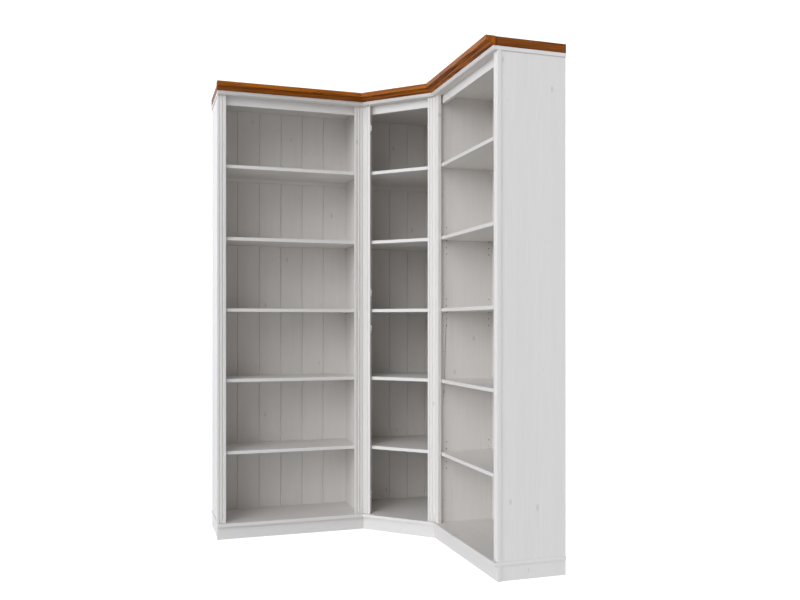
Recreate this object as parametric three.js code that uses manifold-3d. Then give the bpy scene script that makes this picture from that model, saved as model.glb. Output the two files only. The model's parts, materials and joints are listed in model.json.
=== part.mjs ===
// Corner shelf unit: two straight bookcases and a corner bookcase with a diagonal front, joined into one.
// Lengths are millimetres and z is up. While a piece is drawn, the room's corner is the origin, the first
// axis runs along a wall and the second one out from it. The finished group is centred on its footprint.

import * as THREE from 'three';
import { mergeVertices } from 'three/addons/utils/BufferGeometryUtils.js';
import Module from 'manifold-3d';

const manifoldLibrary = await Module();
manifoldLibrary.setup();

// Overall sizes, from the room's corner and the floor
const totalHeight = 2200;
const wingWidth = 728;
const cornerLeg = 594;
const frontDepth = 309;

// Boards of the three carcasses
const panelThickness = 16;
const shelfThickness = 16;
const floorThickness = 16;
const topThickness = 16;
const panelRecess = 4;
const rebateDepth = 15;
const rebateWidth = 8;

// Shelves, from the top down: whether each one rests on pins, which hold it a little lower than a fixed one
const shelvesOnPins = [false, true, true, false, true];
const pinnedShelfDrop = 4;
const shelfSetback = 18;
const shelfSideClearance = 1;
const shelfBackClearance = 1;

// Front frame: fluted stiles, rail under the top and plinth
const stileWidth = 42;
const cornerStileWidth = 40;
const stileThickness = 16;
const flutesPerStile = 2;
const fluteWidth = 8;
const fluteDepth = 3;
const fluteSegments = 6;
const railHeight = 40;
const railThickness = 16;
const railSetback = 25;
const plinthHeight = 63;

// Mouldings: how far each one stands out of the stiles' front
const baseProjection = 17;
const baseNoseRadius = 5;
const neckingProjection = 20;
const neckingCurveHeight = 8;
const neckingQuirk = 1.5;
const crownHeight = 37;
const crownProjection = 55;
const crownFootProjection = 20;
const crownBackInset = 8;
const crownOverhang = 5;
const corniceBoardThickness = 20;
const corniceBoardReach = 12;
const bandBevel = 1.5;
const curveSegments = 5;

// The crown's curves, as shares of its reach beyond its foot and of its height: hollow, bead, hollow
const crownCurveShares = [
  { control: [0, 0.11], end: [0.31, 0.11] },
  { control: [0.42, 0.11], end: [0.42, 0.22] },
  { control: [0.42, 0.46], end: [0.88, 0.46] },
];

// Matchboard back: board widths as shares of the wall they cover
const wingBoardShares = [0.188, 0.1615, 0.1615, 0.1615, 0.1615, 0.166];
const cornerBoardShares = [0.078, 0.18, 0.18, 0.18, 0.18, 0.202];
const backBoardThickness = 10;
const veeDepth = 2;
const veeHalfWidth = 2;

// Shelf pins in rows of holes
const pinRadius = 2.3;
const pinReach = 9;
const pinDepth = 9;
const holeDepth = 10;
const holePitch = 32;
const holesEachWay = 2;
const frontHoleSetback = 37;
const rearHoleInset = 17;
const roundSides = 8;

// Pairs of pilot holes for hinges, each at an inset from the top, the floor or the shelf nearest to it
const pilotRadius = 1.5;
const pilotDepth = 8;
const pilotSetback = 21;
const pilotSpacing = 32;
const pilotTopInset = 97;
const pilotShelfInset = 84;
const pilotDoorInset = 118;
const pilotFloorInset = 89;

// Cleats under the rear edges of the fixed shelves
const cleatHeight = 20;
const cleatThickness = 10;

// Bores for the connectors that hold the fixed shelves, in the undersides near each end
const connectorRadius = 5;
const connectorDepth = 10;
const connectorEndInset = 31;
const connectorRearInset = 56;
const connectorSpacing = 160;

// Hinge mounting plates on the corner bookcase's left stile
const hingePlateTopInset = 114;
const hingePlateShelfInset = 82;
const hingePlateFloorInset = 104;
const hingePlateLength = 55;
const hingePlateWidth = 13;
const hingePlateThickness = 3;
const hingePlateWaistShare = 0.6;
const hingeScrewRadius = 4;
const hingeScrewHeight = 2.5;
const hingeScrewSpacing = 42;
const hingeRidgeWidth = 6;
const hingeRidgeHeight = 1.5;

// Running gap between pieces that are cut to each other, and how far a cutter runs past the wood
const fitGap = 0.3;
const cutterOverrun = 1;

// Sizes that follow from those above
const mitreSlope = Math.tan(Math.PI / 8);
const diagonalLength = (cornerLeg - frontDepth) * Math.SQRT2;
const carcassTop = totalHeight - crownHeight;
const ceilingHeight = carcassTop - topThickness;
const floorHeight = plinthHeight + floorThickness;
const panelFront = frontDepth - stileThickness;
const wingEnd = cornerLeg + wingWidth;
const freeSide = wingEnd - panelRecess;
const wingInnerFace = cornerLeg + panelThickness;
const wingOuterFace = freeSide - panelThickness;
const cornerInnerFace = cornerLeg - panelThickness;
const footprint = wingEnd + crownOverhang;
const holeRadius = pinRadius + fitGap;
const holeColumns = [rebateDepth + rearHoleInset, panelFront - frontHoleSetback];
const connectorRows = [connectorRearInset, connectorRearInset + connectorSpacing];

// The shelves share the inner height evenly
const innerHeight = ceilingHeight - floorHeight;
const bayHeight = (innerHeight - shelvesOnPins.length * shelfThickness) / (shelvesOnPins.length + 1);
const shelves = shelvesOnPins.map((onPins, index) => {
  const level = shelvesOnPins.length - index;
  const top = floorHeight + level * (bayHeight + shelfThickness) - (onPins ? pinnedShelfDrop : 0);
  return { number: index + 1, onPins, top, underside: top - shelfThickness };
});
const [firstShelf, , middleShelf, lowerFixedShelf] = shelves;
const pilotHeights = [
  ceilingHeight - pilotTopInset,
  firstShelf.underside - pilotDoorInset,
  middleShelf.top + pilotShelfInset,
  middleShelf.underside - pilotShelfInset,
  lowerFixedShelf.top + pilotDoorInset,
  lowerFixedShelf.underside - pilotShelfInset,
  floorHeight + pilotFloorInset,
];
const hingePlateHeights = [
  ceilingHeight - hingePlateTopInset,
  middleShelf.top + hingePlateShelfInset,
  middleShelf.underside - hingePlateShelfInset,
  floorHeight + hingePlateFloorInset,
];

// Sum of the two wall distances on a line that runs behind the diagonal front by the given depth
function diagonalSum(depth) {
  return cornerLeg + frontDepth - depth * Math.SQRT2;
}

// Height of the pins that carry a shelf
function pinHeight(shelf) {
  return shelf.underside - fitGap - pinRadius;
}

// Pine under a thin white limewash
function limewashedPine() {
  return new THREE.MeshStandardMaterial({ color: 0xe4e3e1, roughness: 0.55, metalness: 0 });
}

// Pine stained brown and lacquered, as on the cornice
function stainedPine() {
  return new THREE.MeshStandardMaterial({ color: 0x9a5c24, roughness: 0.4, metalness: 0 });
}

// Nickel-plated steel of pins and hinge plates
function platedSteel() {
  return new THREE.MeshStandardMaterial({ color: 0xa9a8a4, roughness: 0.35, metalness: 1 });
}

// Placement against the left wall: along the wall is -x and out of it is -y
const leftWall = new THREE.Matrix4().set(-1, 0, 0, 0, 0, -1, 0, 0, 0, 0, 1, 0, 0, 0, 0, 1);

// Placement against the right wall, the mirror image: along the wall is -y and out of it is -x
const rightWall = new THREE.Matrix4().set(0, -1, 0, 0, -1, 0, 0, 0, 0, 0, 1, 0, 0, 0, 0, 1);

// Closed geometry with position only, its shared vertices merged
function weld(geometry) {
  const bare = geometry.clone();
  bare.deleteAttribute('normal');
  bare.deleteAttribute('uv');
  return mergeVertices(bare);
}

// Geometry moved by a placement, with its faces turned back outwards where that is a mirror image
function placeAt(placement, geometry) {
  const placed = weld(geometry).applyMatrix4(placement);
  if (placement.determinant() < 0) {
    const corners = placed.index;
    for (let first = 0; first < corners.count; first += 3) {
      const second = corners.getX(first + 1);
      corners.setX(first + 1, corners.getX(first + 2));
      corners.setX(first + 2, second);
    }
  }
  placed.computeVertexNormals();
  return placed;
}

// Named mesh of a piece
function piece(name, geometry, material) {
  const mesh = new THREE.Mesh(geometry, material);
  mesh.name = name;
  return mesh;
}

// Upright board of a plan outline, between two heights
function uprightPrism(outline, bottom, top) {
  const shape = new THREE.Shape(outline.map(([along, out]) => new THREE.Vector2(along, out)));
  const prism = new THREE.ExtrudeGeometry(shape, { depth: top - bottom, bevelEnabled: false });
  return prism.translate(0, 0, bottom);
}

// Plan outline of a rectangle
function rectangle(alongStart, alongEnd, outStart, outEnd) {
  return [[alongStart, outStart], [alongEnd, outStart], [alongEnd, outEnd], [alongStart, outEnd]];
}

// Length of moulding of a section drawn in projection and height. Each end may depend on the projection,
// which cuts a mitre
function mouldingLength(section, startAt, endAt) {
  const length = new THREE.ExtrudeGeometry(section, { depth: 1, bevelEnabled: false, curveSegments });
  const corners = length.getAttribute('position');
  for (let index = 0; index < corners.count; index += 1) {
    const projection = corners.getX(index);
    const height = corners.getY(index);
    const along = corners.getZ(index) > 0 ? endAt(projection) : startAt(projection);
    corners.setXYZ(index, along, projection, height);
  }
  return length;
}

// Solid for boolean cuts
function solidOf(geometry) {
  const welded = weld(geometry);
  const vertProperties = new Float32Array(welded.getAttribute('position').array);
  const triVerts = new Uint32Array(welded.index.array);
  return new manifoldLibrary.Manifold(new manifoldLibrary.Mesh({ numProp: 3, vertProperties, triVerts }));
}

// Geometry of a solid after its cuts
function geometryOf(solid) {
  const mesh = solid.getMesh();
  const geometry = new THREE.BufferGeometry();
  geometry.setAttribute('position', new THREE.BufferAttribute(new Float32Array(mesh.vertProperties), 3));
  geometry.setIndex(new THREE.BufferAttribute(new Uint32Array(mesh.triVerts), 1));
  return geometry;
}

// Geometry joined into one body with several others
function joined(geometry, others) {
  return geometryOf(others.reduce((solid, other) => solid.add(solidOf(other)), solidOf(geometry)));
}

// Geometry with several cutters taken out of it
function cut(geometry, cutters) {
  return geometryOf(cutters.reduce((solid, cutter) => solid.subtract(solidOf(cutter)), solidOf(geometry)));
}

// Round bar that lies along the wall, from one place to the other
function barAlongWall(radius, from, to, out, height) {
  const bar = new THREE.CylinderGeometry(radius, radius, Math.abs(to - from), roundSides);
  return bar.rotateZ(Math.PI / 2).translate((from + to) / 2, out, height);
}

// Side panel: rebated for the back along its rear inner edge. Its front edge may be bevelled
function sidePanel(innerFace, outerFace, innerFront, outerFront) {
  const rebateFace = innerFace + Math.sign(outerFace - innerFace) * rebateWidth;
  const outline = [
    [innerFace, rebateDepth],
    [innerFace, innerFront],
    [outerFace, outerFront],
    [outerFace, 0],
    [rebateFace, 0],
    [rebateFace, rebateDepth],
  ];
  return uprightPrism(outline, 0, carcassTop);
}

// Drill for a blind hole from a panel's inner face towards its outer face
function drill(radius, depth, innerFace, outerFace, out, height) {
  const inwards = Math.sign(outerFace - innerFace);
  return barAlongWall(radius, innerFace - inwards * cutterOverrun, innerFace + inwards * depth, out, height);
}

// Drills for the free holes above and below the pins of each shelf that rests on them
function pinHoleDrills(innerFace, outerFace) {
  const drills = [];
  for (const shelf of shelves.filter((each) => each.onPins)) {
    for (const column of holeColumns) {
      for (let step = 1; step <= holesEachWay; step += 1) {
        for (const height of [pinHeight(shelf) - step * holePitch, pinHeight(shelf) + step * holePitch]) {
          drills.push(drill(holeRadius, holeDepth, innerFace, outerFace, column, height));
        }
      }
    }
  }
  return drills;
}

// Shelf pin pushed into its hole, with a peg that the shelf lies on
function shelfPin(innerFace, outerFace, out, height) {
  const inwards = Math.sign(outerFace - innerFace);
  const root = innerFace + inwards * pinDepth;
  return solidOf(barAlongWall(pinRadius, root, innerFace - inwards * pinReach, out, height));
}

// Pins of one panel, which carry one side of each shelf that rests on pins
function panelPins(innerFace, outerFace) {
  const carried = shelves.filter((each) => each.onPins);
  return carried.flatMap((shelf) =>
    holeColumns.map((column) => shelfPin(innerFace, outerFace, column, pinHeight(shelf))),
  );
}

// Panel with its holes drilled and its pins pushed in
function drilledPanel(panel, drills, pins) {
  return geometryOf(pins.reduce((solid, pin) => solid.add(pin), solidOf(cut(panel, drills))));
}

// Drills for the pairs of pilot holes where a hinge plate could be screwed on
function pilotHoleDrills(innerFace, outerFace) {
  const drills = [];
  for (const centre of pilotHeights) {
    for (const side of [-1, 1]) {
      const height = centre + (side * pilotSpacing) / 2;
      drills.push(drill(pilotRadius, pilotDepth, innerFace, outerFace, panelFront - pilotSetback, height));
    }
  }
  return drills;
}

// Side panel of a straight bookcase, square in front
function wingSidePanel(innerFace, outerFace) {
  const panel = sidePanel(innerFace, outerFace, panelFront, panelFront);
  const drills = [...pinHoleDrills(innerFace, outerFace), ...pilotHoleDrills(innerFace, outerFace)];
  return drilledPanel(panel, drills, panelPins(innerFace, outerFace));
}

// Side panel of the corner bookcase, bevelled in front to lie behind the diagonal frame
function cornerSidePanel() {
  const frontSum = diagonalSum(stileThickness + fitGap);
  const panel = sidePanel(cornerInnerFace, cornerLeg, frontSum - cornerInnerFace, frontSum - cornerLeg);
  const drills = pinHoleDrills(cornerInnerFace, cornerLeg);
  return drilledPanel(panel, drills, panelPins(cornerInnerFace, cornerLeg));
}

// Back of upright tongue-and-groove boards between two places along the wall, with a V along each joint
function backBoards(start, end, widthShares) {
  const face = rebateDepth;
  const rear = rebateDepth - backBoardThickness;
  const outline = [[end, face], [end, rear], [start, rear], [start, face]];
  let joint = start;
  for (const share of widthShares.slice(0, -1)) {
    joint += share * (end - start);
    outline.push([joint - veeHalfWidth, face], [joint, face - veeDepth], [joint + veeHalfWidth, face]);
  }
  return uprightPrism(outline, plinthHeight, carcassTop);
}

// Plan of a corner board or shelf: five-sided, cut off parallel to the diagonal front
function cornerBoardOutline(rearFace, sideFace, setback) {
  const frontSum = diagonalSum(setback);
  return [
    [rearFace, rearFace],
    [sideFace, rearFace],
    [sideFace, frontSum - sideFace],
    [frontSum - sideFace, sideFace],
    [rearFace, sideFace],
  ];
}

// Shelf board of a plan outline. One that doesn't rest on pins has cleats and bores under it
function shelfBoard(shelf, outline, cleatOutlines, connectorPlaces) {
  const board = uprightPrism(outline, shelf.underside, shelf.top);
  if (shelf.onPins) {
    return board;
  }
  const cleatTop = shelf.underside + shelfThickness / 2;
  const cleats = cleatOutlines.map((each) => uprightPrism(each, shelf.underside - cleatHeight, cleatTop));
  const boreLength = connectorDepth + cutterOverrun;
  const bores = connectorPlaces.map(([along, out]) => {
    const bore = new THREE.CylinderGeometry(connectorRadius, connectorRadius, boreLength, roundSides);
    return bore.rotateX(Math.PI / 2).translate(along, out, shelf.underside + connectorDepth - boreLength / 2);
  });
  return cut(joined(board, cleats), bores);
}

// Shelf of a straight bookcase
function wingShelf(shelf) {
  const side = shelf.onPins ? shelfSideClearance : 0;
  const rear = rebateDepth + (shelf.onPins ? shelfBackClearance : 0);
  const outline = rectangle(wingInnerFace + side, wingOuterFace - side, rear, frontDepth - shelfSetback);
  const ends = [wingInnerFace + connectorEndInset, wingOuterFace - connectorEndInset];
  const places = ends.flatMap((end) => connectorRows.map((row) => [end, rebateDepth + row]));
  const cleat = rectangle(wingInnerFace, wingOuterFace, rebateDepth, rebateDepth + cleatThickness);
  return shelfBoard(shelf, outline, [cleat], places);
}

// Shelf of the corner bookcase
function cornerShelf(shelf) {
  const side = shelf.onPins ? shelfSideClearance : 0;
  const rear = rebateDepth + (shelf.onPins ? shelfBackClearance : 0);
  const outline = cornerBoardOutline(rear, cornerInnerFace - side, shelfSetback);
  const end = cornerInnerFace - connectorEndInset;
  const places = connectorRows.flatMap((row) => [[end, rebateDepth + row], [rebateDepth + row, end]]);
  const cleatFace = rebateDepth + cleatThickness;
  const leftCleat = rectangle(rebateDepth, cornerInnerFace, rebateDepth, cleatFace);
  const rightCleat = rectangle(rebateDepth, cleatFace, rebateDepth, cornerInnerFace);
  return shelfBoard(shelf, outline, [leftCleat, rightCleat], places);
}

// Fluted stile: its front is the line of zero projection, and round flutes run its whole height
function flutedStile(start, width) {
  const halfWidth = fluteWidth / 2;
  const arcRadius = (halfWidth * halfWidth + fluteDepth * fluteDepth) / (2 * fluteDepth);
  const arcCentre = arcRadius - fluteDepth;
  const halfAngle = Math.asin(halfWidth / arcRadius);
  const outline = [[start, -stileThickness], [start, 0]];
  for (let flute = 1; flute <= flutesPerStile; flute += 1) {
    const centre = start + (width * flute) / (flutesPerStile + 1);
    for (let step = 0; step <= fluteSegments; step += 1) {
      const angle = halfAngle * ((2 * step) / fluteSegments - 1);
      outline.push([centre + arcRadius * Math.sin(angle), arcCentre - arcRadius * Math.cos(angle)]);
    }
  }
  outline.push([start + width, 0], [start + width, -stileThickness]);
  return uprightPrism(outline, floorHeight, ceilingHeight);
}

// Section of the moulding on the plinth: a floor edge with a rounded nose
function baseSection() {
  const noseHeight = floorHeight - baseNoseRadius;
  const section = new THREE.Shape();
  section.moveTo(-stileThickness, plinthHeight);
  section.lineTo(baseProjection, plinthHeight);
  section.lineTo(baseProjection, noseHeight);
  section.absarc(baseProjection - baseNoseRadius, noseHeight, baseNoseRadius, 0, Math.PI / 2);
  section.lineTo(-stileThickness, floorHeight);
  return section;
}

// Section of the white moulding under the cornice: a quirk, then a quarter round
function neckingSection() {
  const curveTop = ceilingHeight + neckingCurveHeight;
  const curveReach = neckingProjection - neckingQuirk;
  const section = new THREE.Shape();
  section.moveTo(-stileThickness, ceilingHeight);
  section.lineTo(curveReach - neckingCurveHeight, ceilingHeight);
  section.absarc(curveReach - neckingCurveHeight, curveTop, neckingCurveHeight, -Math.PI / 2, 0);
  section.lineTo(neckingProjection, curveTop);
  section.lineTo(neckingProjection, carcassTop);
  section.lineTo(-stileThickness, carcassTop);
  return section;
}

// Section of the crown: hollow, bead and hollow under a flat fascia
function crownSection() {
  const reach = crownProjection - crownFootProjection;
  const outAt = (share) => crownFootProjection + share * reach;
  const upAt = (share) => carcassTop + share * crownHeight;
  const section = new THREE.Shape();
  section.moveTo(-crownBackInset, carcassTop);
  section.lineTo(crownFootProjection, carcassTop);
  for (const { control, end } of crownCurveShares) {
    section.quadraticCurveTo(outAt(control[0]), upAt(control[1]), outAt(end[0]), upAt(end[1]));
  }
  const fasciaFootShare = crownCurveShares.at(-1).end[1];
  section.lineTo(crownProjection, upAt(fasciaFootShare));
  section.lineTo(crownProjection, totalHeight);
  section.lineTo(-crownBackInset, totalHeight);
  return section;
}

// Where a moulding is mitred at the joint with the next bookcase, by its projection
function mitreAt(projection) {
  return projection * mitreSlope + fitGap / 2;
}

// Moulding of a straight bookcase, mitred at the joint and square at the free end
function wingMoulding(section, freeEnd) {
  return mouldingLength(section, mitreAt, () => freeEnd).translate(cornerLeg, frontDepth, 0);
}

// Moulding of the diagonal front, mitred at both ends
function cornerMoulding(section) {
  return mouldingLength(section, mitreAt, (projection) => diagonalLength - mitreAt(projection));
}

// Crown of a straight bookcase, notched for the cornice board on its side
function wingCrown() {
  const crown = wingMoulding(crownSection(), wingWidth + crownOverhang);
  const notchStart = wingEnd - corniceBoardThickness - fitGap;
  const notchEnd = footprint + cutterOverrun;
  const notchFront = frontDepth + corniceBoardReach + fitGap;
  const notchRear = frontDepth - crownBackInset - cutterOverrun;
  const notchOutline = rectangle(notchStart, notchEnd, notchRear, notchFront);
  const notch = uprightPrism(notchOutline, carcassTop - cutterOverrun, totalHeight + cutterOverrun);
  return cut(crown, [notch]);
}

// Flat band along the free side, which carries a front moulding round to the wall, between two heights
function sideBand(bottom, top) {
  const section = new THREE.Shape([
    new THREE.Vector2(freeSide, bottom),
    new THREE.Vector2(wingEnd, bottom),
    new THREE.Vector2(wingEnd, top - bandBevel),
    new THREE.Vector2(wingEnd - bandBevel, top),
    new THREE.Vector2(freeSide, top),
  ]);
  const band = new THREE.ExtrudeGeometry(section, { depth: frontDepth, bevelEnabled: false });
  return band.rotateX(Math.PI / 2).translate(0, frontDepth, 0);
}

// White moulding of a straight bookcase, joined to its band along the free side
function wingMouldingWithBand(section, bottom, top) {
  const front = solidOf(wingMoulding(section, wingWidth));
  return geometryOf(front.add(solidOf(sideBand(bottom, top))));
}

// Brown board on top of the free side, with its lower outer edge bevelled
function corniceSideBoard() {
  const section = new THREE.Shape([
    new THREE.Vector2(wingEnd - corniceBoardThickness, carcassTop),
    new THREE.Vector2(wingEnd - bandBevel, carcassTop),
    new THREE.Vector2(wingEnd, carcassTop + bandBevel),
    new THREE.Vector2(wingEnd, totalHeight),
    new THREE.Vector2(wingEnd - corniceBoardThickness, totalHeight),
  ]);
  const reach = frontDepth + corniceBoardReach;
  const board = new THREE.ExtrudeGeometry(section, { depth: reach, bevelEnabled: false });
  return board.rotateX(Math.PI / 2).translate(0, reach, 0);
}

// Plinth board under a front of the given length
function plinthBoard(start, end) {
  return uprightPrism(rectangle(start, end, -stileThickness, 0), 0, plinthHeight);
}

// Board between the side panels of a straight bookcase, from the back to behind the front frame
function wingBoard(bottom, top) {
  return uprightPrism(rectangle(wingInnerFace, wingOuterFace, rebateDepth, panelFront), bottom, top);
}

// The same board of the corner bookcase
function cornerBoard(bottom, top) {
  const outline = cornerBoardOutline(rebateDepth, cornerInnerFace, stileThickness + fitGap);
  return uprightPrism(outline, bottom, top);
}

// Rail under the top of a straight bookcase, set back behind the stiles
function wingRail() {
  const front = frontDepth - railSetback;
  const outline = rectangle(wingInnerFace, wingOuterFace, front - railThickness, front);
  return uprightPrism(outline, ceilingHeight - railHeight, ceilingHeight);
}

// Rail under the top of the corner bookcase, its ends bevelled to the side panels
function cornerRail() {
  const frontSum = diagonalSum(railSetback);
  const rearSum = diagonalSum(railSetback + railThickness);
  const outline = [
    [cornerInnerFace, frontSum - cornerInnerFace],
    [frontSum - cornerInnerFace, cornerInnerFace],
    [rearSum - cornerInnerFace, cornerInnerFace],
    [cornerInnerFace, rearSum - cornerInnerFace],
  ];
  return uprightPrism(outline, ceilingHeight - railHeight, ceilingHeight);
}

// Outline of a hinge plate: two round ends and a narrower waist, drawn in width and height
function hingePlateOutline() {
  const endRadius = hingePlateWidth / 2;
  const endCentre = hingePlateLength / 2 - endRadius;
  const waist = endRadius * hingePlateWaistShare;
  const joinAngle = Math.acos(hingePlateWaistShare);
  const outline = new THREE.Shape();
  outline.absarc(0, endCentre, endRadius, -joinAngle, Math.PI + joinAngle);
  outline.lineTo(-waist, -endCentre + endRadius * Math.sin(joinAngle));
  outline.absarc(0, -endCentre, endRadius, Math.PI - joinAngle, 2 * Math.PI + joinAngle);
  outline.lineTo(waist, endCentre - endRadius * Math.sin(joinAngle));
  return outline;
}

// One hinge plate: outline, raised ridge down the middle and two screw heads
function hingePlate() {
  const settings = { depth: hingePlateThickness, bevelEnabled: false, curveSegments };
  const plate = new THREE.ExtrudeGeometry(hingePlateOutline(), settings);
  const ridgeTop = hingePlateThickness + hingeRidgeHeight;
  const ridge = new THREE.BoxGeometry(hingeRidgeWidth, hingeScrewSpacing, ridgeTop);
  ridge.translate(0, 0, ridgeTop / 2);
  let solid = solidOf(plate).add(solidOf(ridge));
  const screwTop = hingePlateThickness + hingeScrewHeight;
  for (const side of [-1, 1]) {
    const screw = new THREE.CylinderGeometry(hingeScrewRadius, hingeScrewRadius, screwTop, roundSides);
    screw.rotateX(Math.PI / 2).translate(0, (side * hingeScrewSpacing) / 2, screwTop / 2);
    solid = solid.add(solidOf(screw));
  }
  return geometryOf(solid);
}

// Hinge plate on the inner edge of the corner bookcase's left stile, in the diagonal front's frame
function placedHingePlate(height) {
  const stileInnerEdge = diagonalLength - fitGap / 2 - cornerStileWidth;
  const plate = hingePlate().rotateX(Math.PI / 2).rotateZ(-Math.PI / 2);
  return plate.translate(stileInnerEdge - fitGap, -stileThickness / 2, height);
}

// Straight bookcase against one wall
function wing(side, placement) {
  const bookcase = new THREE.Group();
  const add = (name, geometry, material) => {
    bookcase.add(piece(`${side}_${name}`, placeAt(placement, geometry), material));
  };
  const onFront = (geometry) => geometry.translate(cornerLeg, frontDepth, 0);
  const jointEnd = fitGap / 2;
  add('outer_side_panel', wingSidePanel(wingOuterFace, freeSide), limewashedPine());
  add('inner_side_panel', wingSidePanel(wingInnerFace, cornerLeg), limewashedPine());
  const backStart = wingInnerFace - rebateWidth + fitGap;
  const backEnd = wingOuterFace + rebateWidth - fitGap;
  add('back_boards', backBoards(backStart, backEnd, wingBoardShares), limewashedPine());
  add('top_board', wingBoard(ceilingHeight, carcassTop), limewashedPine());
  add('bottom_board', wingBoard(plinthHeight, floorHeight), limewashedPine());
  for (const shelf of shelves) {
    add(`shelf_${shelf.number}`, wingShelf(shelf), limewashedPine());
  }
  add('outer_stile', onFront(flutedStile(wingWidth - stileWidth, stileWidth)), limewashedPine());
  add('inner_stile', onFront(flutedStile(jointEnd, stileWidth)), limewashedPine());
  add('top_rail', wingRail(), limewashedPine());
  add('plinth_board', onFront(plinthBoard(jointEnd, wingWidth)), limewashedPine());
  const baseMoulding = wingMouldingWithBand(baseSection(), plinthHeight, floorHeight);
  add('base_moulding', baseMoulding, limewashedPine());
  const neckingMoulding = wingMouldingWithBand(neckingSection(), ceilingHeight, carcassTop);
  add('necking_moulding', neckingMoulding, limewashedPine());
  add('crown_moulding', wingCrown(), stainedPine());
  add('cornice_side_board', corniceSideBoard(), stainedPine());
  return bookcase;
}

// Diagonal front of the corner bookcase: drawn along its own length, then turned between the wings
function diagonalFront() {
  const front = new THREE.Group();
  const jointEnd = fitGap / 2;
  const farEnd = diagonalLength - jointEnd;
  front.add(piece('corner_right_stile', flutedStile(jointEnd, cornerStileWidth), limewashedPine()));
  const leftStile = flutedStile(farEnd - cornerStileWidth, cornerStileWidth);
  front.add(piece('corner_left_stile', leftStile, limewashedPine()));
  front.add(piece('corner_plinth_board', plinthBoard(jointEnd, farEnd), limewashedPine()));
  front.add(piece('corner_base_moulding', cornerMoulding(baseSection()), limewashedPine()));
  front.add(piece('corner_necking_moulding', cornerMoulding(neckingSection()), limewashedPine()));
  front.add(piece('corner_crown_moulding', cornerMoulding(crownSection()), stainedPine()));
  hingePlateHeights.forEach((height, index) => {
    front.add(piece(`hinge_plate_${index + 1}`, placedHingePlate(height), platedSteel()));
  });
  front.position.set(-frontDepth, -cornerLeg, 0);
  front.rotation.z = (3 * Math.PI) / 4;
  return front;
}

// Corner bookcase: its carcass against both walls and its diagonal front
function cornerBookcase() {
  const bookcase = new THREE.Group();
  const add = (name, geometry, placement = leftWall) => {
    bookcase.add(piece(`corner_${name}`, placeAt(placement, geometry), limewashedPine()));
  };
  const backEnd = cornerInnerFace + rebateWidth - fitGap;
  const rearFace = rebateDepth - backBoardThickness;
  add('left_side_panel', cornerSidePanel());
  add('right_side_panel', cornerSidePanel(), rightWall);
  add('left_back_boards', backBoards(rearFace, backEnd, cornerBoardShares));
  add('right_back_boards', backBoards(rebateDepth + fitGap, backEnd, cornerBoardShares), rightWall);
  add('top_board', cornerBoard(ceilingHeight, carcassTop));
  add('bottom_board', cornerBoard(plinthHeight, floorHeight));
  for (const shelf of shelves) {
    add(`shelf_${shelf.number}`, cornerShelf(shelf));
  }
  add('top_rail', cornerRail());
  bookcase.add(diagonalFront());
  return bookcase;
}

// The whole unit, centred on its footprint
const unit = new THREE.Group();
unit.add(wing('left', leftWall), cornerBookcase(), wing('right', rightWall));
unit.position.set(footprint / 2, footprint / 2, 0);

export default unit;
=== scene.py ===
# Corner shelf unit in limewashed pine with a brown stained cornice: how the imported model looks.
import itertools
import json
import math

import bmesh
import bpy
from mathutils import Matrix, Vector

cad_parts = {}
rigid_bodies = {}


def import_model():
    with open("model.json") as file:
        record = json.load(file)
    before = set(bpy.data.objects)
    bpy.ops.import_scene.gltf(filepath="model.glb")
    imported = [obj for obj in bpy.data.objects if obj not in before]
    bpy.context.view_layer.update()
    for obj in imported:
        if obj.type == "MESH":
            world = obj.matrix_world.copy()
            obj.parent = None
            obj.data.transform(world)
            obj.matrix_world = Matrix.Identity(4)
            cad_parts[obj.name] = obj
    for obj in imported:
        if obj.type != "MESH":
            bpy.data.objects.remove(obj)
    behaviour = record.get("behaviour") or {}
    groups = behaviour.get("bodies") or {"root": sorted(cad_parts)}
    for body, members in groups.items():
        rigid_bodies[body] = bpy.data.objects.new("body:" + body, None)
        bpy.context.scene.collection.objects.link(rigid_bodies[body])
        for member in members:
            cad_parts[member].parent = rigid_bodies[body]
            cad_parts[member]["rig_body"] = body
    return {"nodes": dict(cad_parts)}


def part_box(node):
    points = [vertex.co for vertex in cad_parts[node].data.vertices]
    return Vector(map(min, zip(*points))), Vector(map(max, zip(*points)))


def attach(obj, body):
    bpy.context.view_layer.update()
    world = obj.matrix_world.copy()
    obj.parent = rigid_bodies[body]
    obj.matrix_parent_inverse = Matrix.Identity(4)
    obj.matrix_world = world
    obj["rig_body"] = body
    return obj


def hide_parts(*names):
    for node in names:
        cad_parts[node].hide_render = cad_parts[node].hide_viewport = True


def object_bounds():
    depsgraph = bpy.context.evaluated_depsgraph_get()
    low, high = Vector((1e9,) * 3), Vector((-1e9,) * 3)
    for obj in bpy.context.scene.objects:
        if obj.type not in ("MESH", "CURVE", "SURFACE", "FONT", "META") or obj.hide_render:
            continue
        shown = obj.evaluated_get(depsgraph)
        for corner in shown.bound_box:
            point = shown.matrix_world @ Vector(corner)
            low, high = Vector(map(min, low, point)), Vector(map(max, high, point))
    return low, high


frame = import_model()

nodes = frame["nodes"]
cad_box = [list(corner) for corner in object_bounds()]


# Photographer's stand
# The camera looks at the open corner from the left of it, held level, a little under half the unit's height.
# It is fixed to the studio and doesn't belong to the furniture.
CAMERA_PLACE_M = (-1.0455, -3.7168, 1.0379)
CAMERA_TURN_DEGREES = -17.864
FRAME_WIDTH_PX = 800
FRAME_HEIGHT_PX = 600
FOCAL_LENGTH_PX = 828.98
HORIZON_PX = 324.63
SENSOR_MM = 36

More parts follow.
